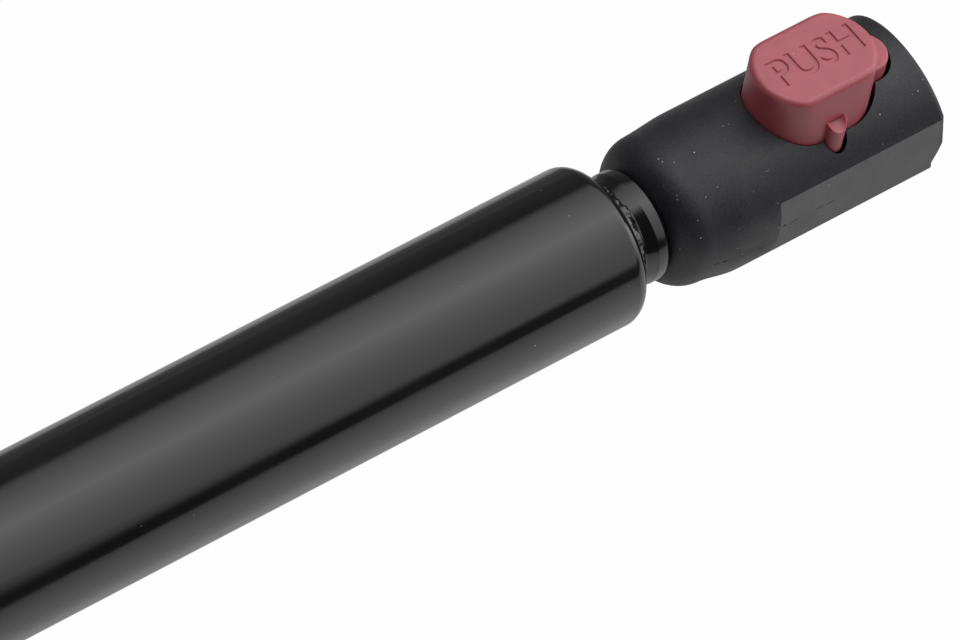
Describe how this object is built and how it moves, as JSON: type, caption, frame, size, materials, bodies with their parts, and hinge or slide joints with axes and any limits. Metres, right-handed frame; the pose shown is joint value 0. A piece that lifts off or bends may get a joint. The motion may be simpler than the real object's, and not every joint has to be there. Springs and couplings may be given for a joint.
{
  "type": "hood gas strut",
  "caption": "Gas strut for a hood: pressure tube, sliding rod, and ball socket end fittings that a push button releases.",
  "frame": {"origin": "centre of the ball that the tube-end socket holds, on the strut's axis", "axes": "+X along the strut from the tube to the tube-end socket's far end, so the rod end lies at -X; +Z from the ball to the release button; the ball studs enter the sockets from -Z"},
  "size_m": [0.4302, 0.0186, 0.0237],
  "materials": {
    "black_paint": "gloss black stoved paint on steel",
    "black_nylon": "matte, fine moulded grain",
    "red_acetal": "dusty rose red, satin moulded",
    "nitrided_steel": "ground and nitrided, dark satin",
    "plain_steel": "plain stamped steel",
    "piston_aluminium": "turned",
    "guide_acetal": "natural, turned",
    "nitrile_rubber": "moulded",
    "ptfe": "bronze-filled, turned"
  },
  "bodies": {
    "cylinder": {"pressure_tube": "black_paint", "end_stud": "black_paint", "weld_bead": "black_paint", "rod_wiper": "nitrile_rubber", "rod_guide": "guide_acetal", "main_seal": "nitrile_rubber", "seal_washer": "plain_steel", "rebound_stop": "nitrile_rubber", "tube_end_housing": "black_nylon"},
    "ring": {"piston_ring": "ptfe"},
    "rod": {"piston_rod": "nitrided_steel", "piston": "piston_aluminium", "front_plate": "plain_steel", "rear_plate": "plain_steel", "rod_end_housing": "black_nylon"},
    "tube_end_slider": {"tube_end_button": "red_acetal", "tube_end_cage": "red_acetal"},
    "tube_end_jaw_1": {"tube_end_jaw_1": "red_acetal"},
    "tube_end_jaw_2": {"tube_end_jaw_2": "red_acetal"},
    "tube_end_jaw_3": {"tube_end_jaw_3": "red_acetal"},
    "tube_end_jaw_4": {"tube_end_jaw_4": "red_acetal"},
    "rod_end_slider": {"rod_end_button": "red_acetal", "rod_end_cage": "red_acetal"},
    "rod_end_jaw_1": {"rod_end_jaw_1": "red_acetal"},
    "rod_end_jaw_2": {"rod_end_jaw_2": "red_acetal"},
    "rod_end_jaw_3": {"rod_end_jaw_3": "red_acetal"},
    "rod_end_jaw_4": {"rod_end_jaw_4": "red_acetal"}
  },
  "joints": [
    {"name": "rod_stroke", "type": "slide", "parent": "cylinder", "child": "ring", "axis": [1, 0, 0], "range_m": [0, 0.15], "stiffness_N_per_m": 580, "springref_m": -0.6},
    {"name": "rod_spin", "type": "hinge", "parent": "ring", "child": "rod", "pos_m": [-0.3, 0, 0], "axis": [1, 0, 0], "continuous": true},
    {"name": "tube_end_release", "type": "slide", "parent": "cylinder", "child": "tube_end_slider", "axis": [0, 0, -1], "range_m": [0, 0.004]},
    {"name": "tube_end_jaw_1_hinge", "type": "hinge", "parent": "tube_end_slider", "child": "tube_end_jaw_1", "pos_m": [0.00395, 0.00395, -0.0004], "axis": [0.7071, -0.7071, 0], "range_deg": [0, 14.1]},
    {"name": "tube_end_jaw_2_hinge", "type": "hinge", "parent": "tube_end_slider", "child": "tube_end_jaw_2", "pos_m": [-0.00395, 0.00395, -0.0004], "axis": [0.7071, 0.7071, 0], "range_deg": [0, 14.1]},
    {"name": "tube_end_jaw_3_hinge", "type": "hinge", "parent": "tube_end_slider", "child": "tube_end_jaw_3", "pos_m": [-0.00395, -0.00395, -0.0004], "axis": [-0.7071, 0.7071, 0], "range_deg": [0, 14.1]},
    {"name": "tube_end_jaw_4_hinge", "type": "hinge", "parent": "tube_end_slider", "child": "tube_end_jaw_4", "pos_m": [0.00395, -0.00395, -0.0004], "axis": [-0.7071, -0.7071, 0], "range_deg": [0, 14.1]},
    {"name": "rod_end_release", "type": "slide", "parent": "rod", "child": "rod_end_slider", "axis": [0, 0, -1], "range_m": [0, 0.004]},
    {"name": "rod_end_jaw_1_hinge", "type": "hinge", "parent": "rod_end_slider", "child": "rod_end_jaw_1", "pos_m": [-0.40395, -0.00395, -0.0004], "axis": [-0.7071, 0.7071, 0], "range_deg": [0, 14.1]},
    {"name": "rod_end_jaw_2_hinge", "type": "hinge", "parent": "rod_end_slider", "child": "rod_end_jaw_2", "pos_m": [-0.39605, -0.00395, -0.0004], "axis": [-0.7071, -0.7071, 0], "range_deg": [0, 14.1]},
    {"name": "rod_end_jaw_3_hinge", "type": "hinge", "parent": "rod_end_slider", "child": "rod_end_jaw_3", "pos_m": [-0.39605, 0.00395, -0.0004], "axis": [0.7071, -0.7071, 0], "range_deg": [0, 14.1]},
    {"name": "rod_end_jaw_4_hinge", "type": "hinge", "parent": "rod_end_slider", "child": "rod_end_jaw_4", "pos_m": [-0.40395, 0.00395, -0.0004], "axis": [0.7071, 0.7071, 0], "range_deg": [0, 14.1]}
  ],
  "couplings": [
    {"joint": "tube_end_jaw_1_hinge", "follows": "tube_end_release", "rad_per_m": 61.087},
    {"joint": "tube_end_jaw_2_hinge", "follows": "tube_end_release", "rad_per_m": 61.087},
    {"joint": "tube_end_jaw_3_hinge", "follows": "tube_end_release", "rad_per_m": 61.087},
    {"joint": "tube_end_jaw_4_hinge", "follows": "tube_end_release", "rad_per_m": 61.087},
    {"joint": "rod_end_jaw_1_hinge", "follows": "rod_end_release", "rad_per_m": 61.087},
    {"joint": "rod_end_jaw_2_hinge", "follows": "rod_end_release", "rad_per_m": 61.087},
    {"joint": "rod_end_jaw_3_hinge", "follows": "rod_end_release", "rad_per_m": 61.087},
    {"joint": "rod_end_jaw_4_hinge", "follows": "rod_end_release", "rad_per_m": 61.087}
  ]
}
